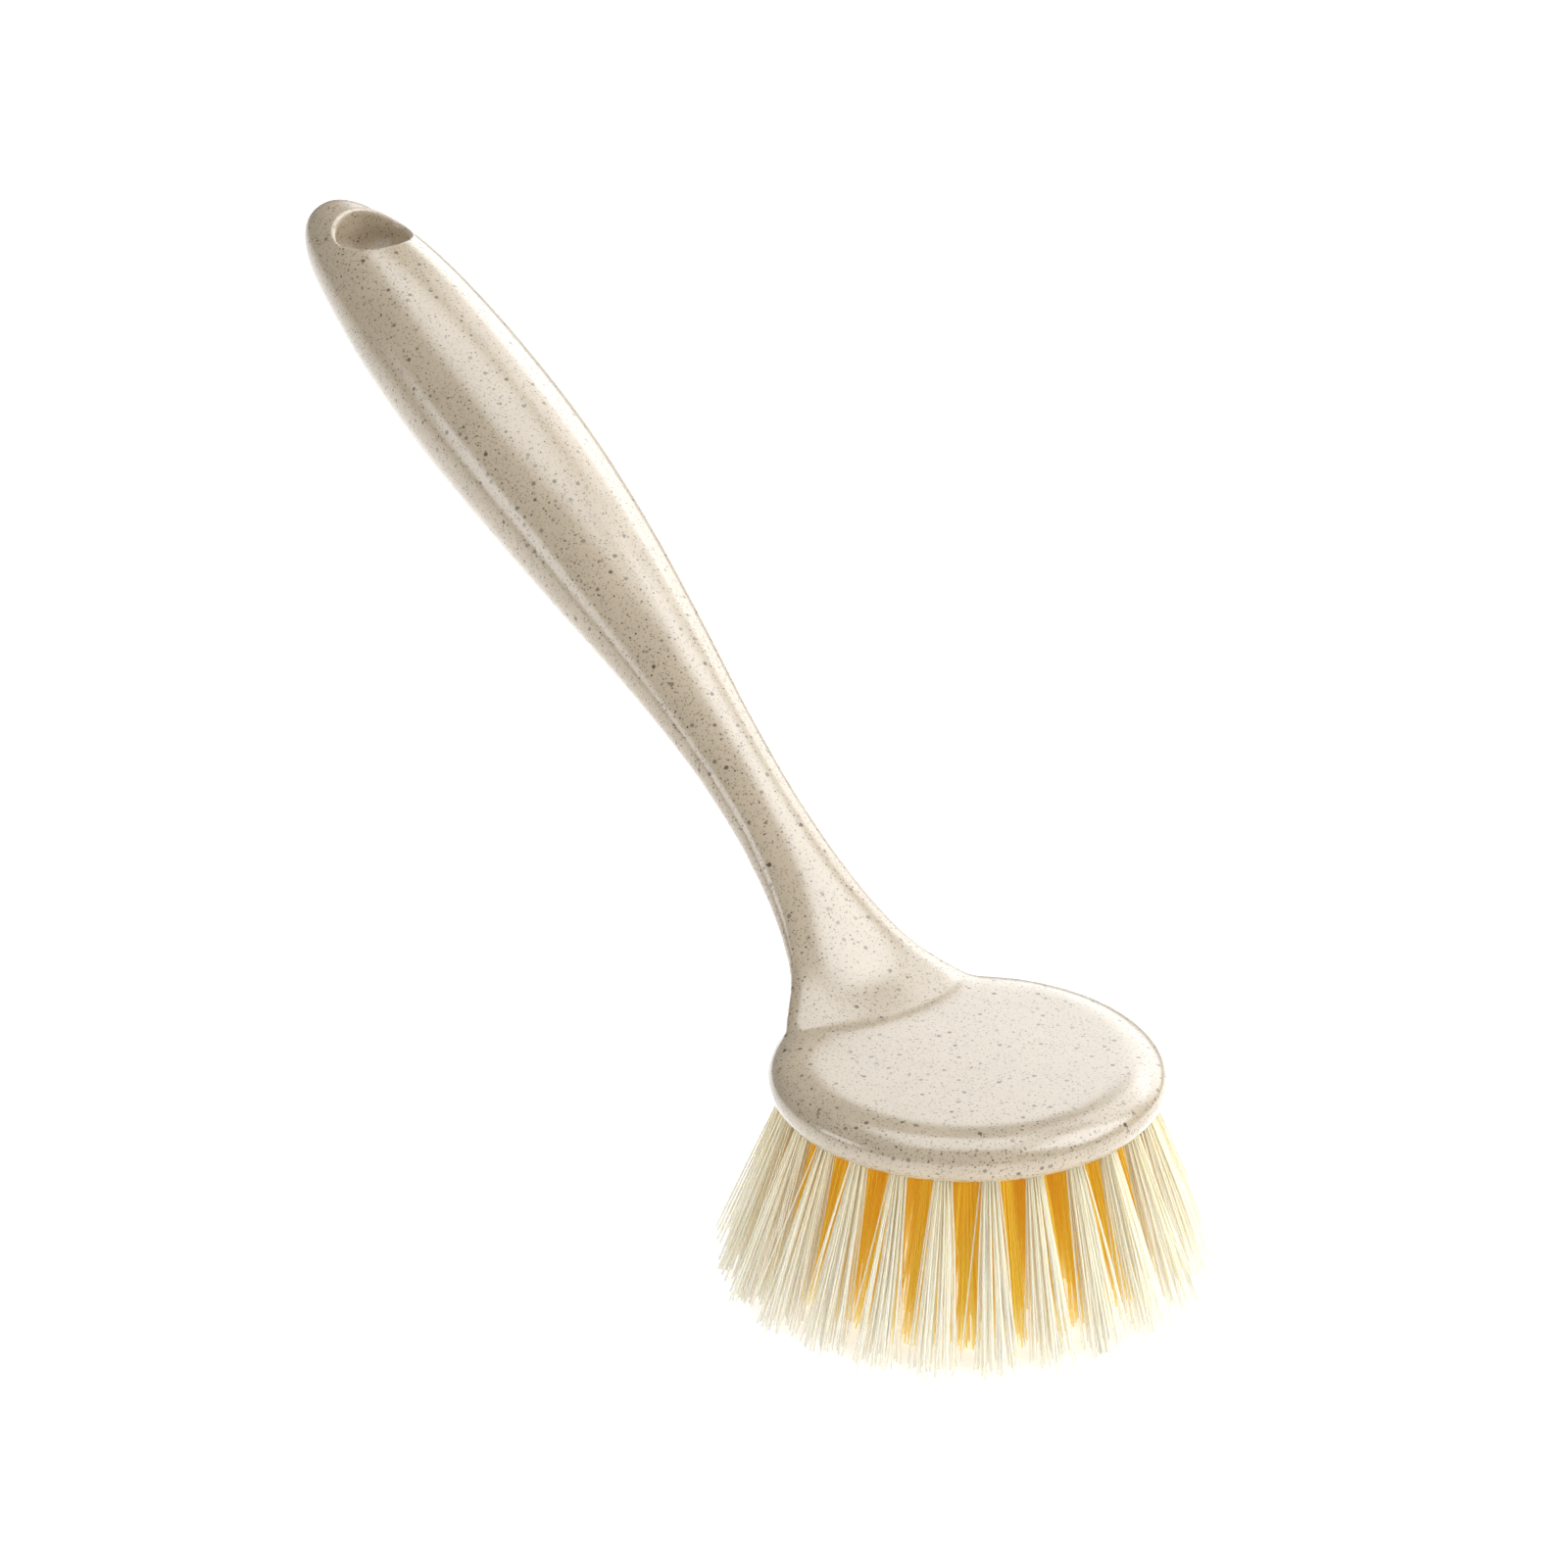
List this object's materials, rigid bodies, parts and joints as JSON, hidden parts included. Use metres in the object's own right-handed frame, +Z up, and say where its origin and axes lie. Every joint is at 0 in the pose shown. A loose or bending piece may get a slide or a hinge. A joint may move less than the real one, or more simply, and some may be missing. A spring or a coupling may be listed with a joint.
{
  "type": "dish brush",
  "caption": "Dish brush with a round moulded head, a curved neck, a fat grip with a hanging hole, and rings of splayed white and orange bristle tufts.",
  "frame": {"origin": "on the head's axis, in the plane of the bristle tips that are trimmed flat, so the head's underside lies 33 mm above it", "axes": "+Z up through the head, square to its top; the handle rises towards -X; +Y completes the frame, and the XZ plane is the plane of symmetry"},
  "size_m": [0.2444, 0.0884, 0.1375],
  "materials": {
    "body_plastic": "glossy beige moulded plastic with fine dark-brown plant-fibre speckles",
    "white_filament": "slightly translucent cream-white filaments",
    "orange_filament": "slightly translucent orange-yellow filaments",
    "anchor_wire": "plain flat wire, hidden in the sockets"
  },
  "bodies": {
    "root": {"brush_body": "body_plastic", "white_tuft_01": "white_filament", "white_tuft_02": "white_filament", "white_tuft_03": "white_filament", "white_tuft_04": "white_filament", "white_tuft_05": "white_filament", "white_tuft_06": "white_filament", "white_tuft_07": "white_filament", "white_tuft_08": "white_filament", "white_tuft_09": "white_filament", "white_tuft_10": "white_filament", "white_tuft_11": "white_filament", "white_tuft_12": "white_filament", "white_tuft_13": "white_filament", "white_tuft_14": "white_filament", "white_tuft_15": "white_filament", "white_tuft_16": "white_filament", "white_tuft_17": "white_filament", "white_tuft_18": "white_filament", "white_tuft_19": "white_filament", "white_tuft_20": "white_filament", "white_tuft_21": "white_filament", "white_tuft_22": "white_filament", "white_tuft_23": "white_filament", "white_tuft_24": "white_filament", "orange_tuft_01": "orange_filament", "orange_tuft_02": "orange_filament", "orange_tuft_03": "orange_filament", "orange_tuft_04": "orange_filament", "orange_tuft_05": "orange_filament", "orange_tuft_06": "orange_filament", "orange_tuft_07": "orange_filament", "orange_tuft_08": "orange_filament", "orange_tuft_09": "orange_filament", "orange_tuft_10": "orange_filament", "orange_tuft_11": "orange_filament", "orange_tuft_12": "orange_filament", "orange_tuft_13": "orange_filament", "orange_tuft_14": "orange_filament", "orange_tuft_15": "orange_filament", "orange_tuft_16": "orange_filament", "orange_tuft_17": "orange_filament", "orange_tuft_18": "orange_filament", "orange_tuft_19": "orange_filament", "orange_tuft_20": "orange_filament", "orange_tuft_21": "orange_filament", "orange_tuft_22": "orange_filament", "orange_tuft_23": "orange_filament", "orange_tuft_24": "orange_filament", "third_ring_tufts": "orange_filament", "fourth_ring_tufts": "orange_filament", "centre_tuft": "orange_filament", "tuft_anchors": "anchor_wire"}
  },
  "joints": []
}
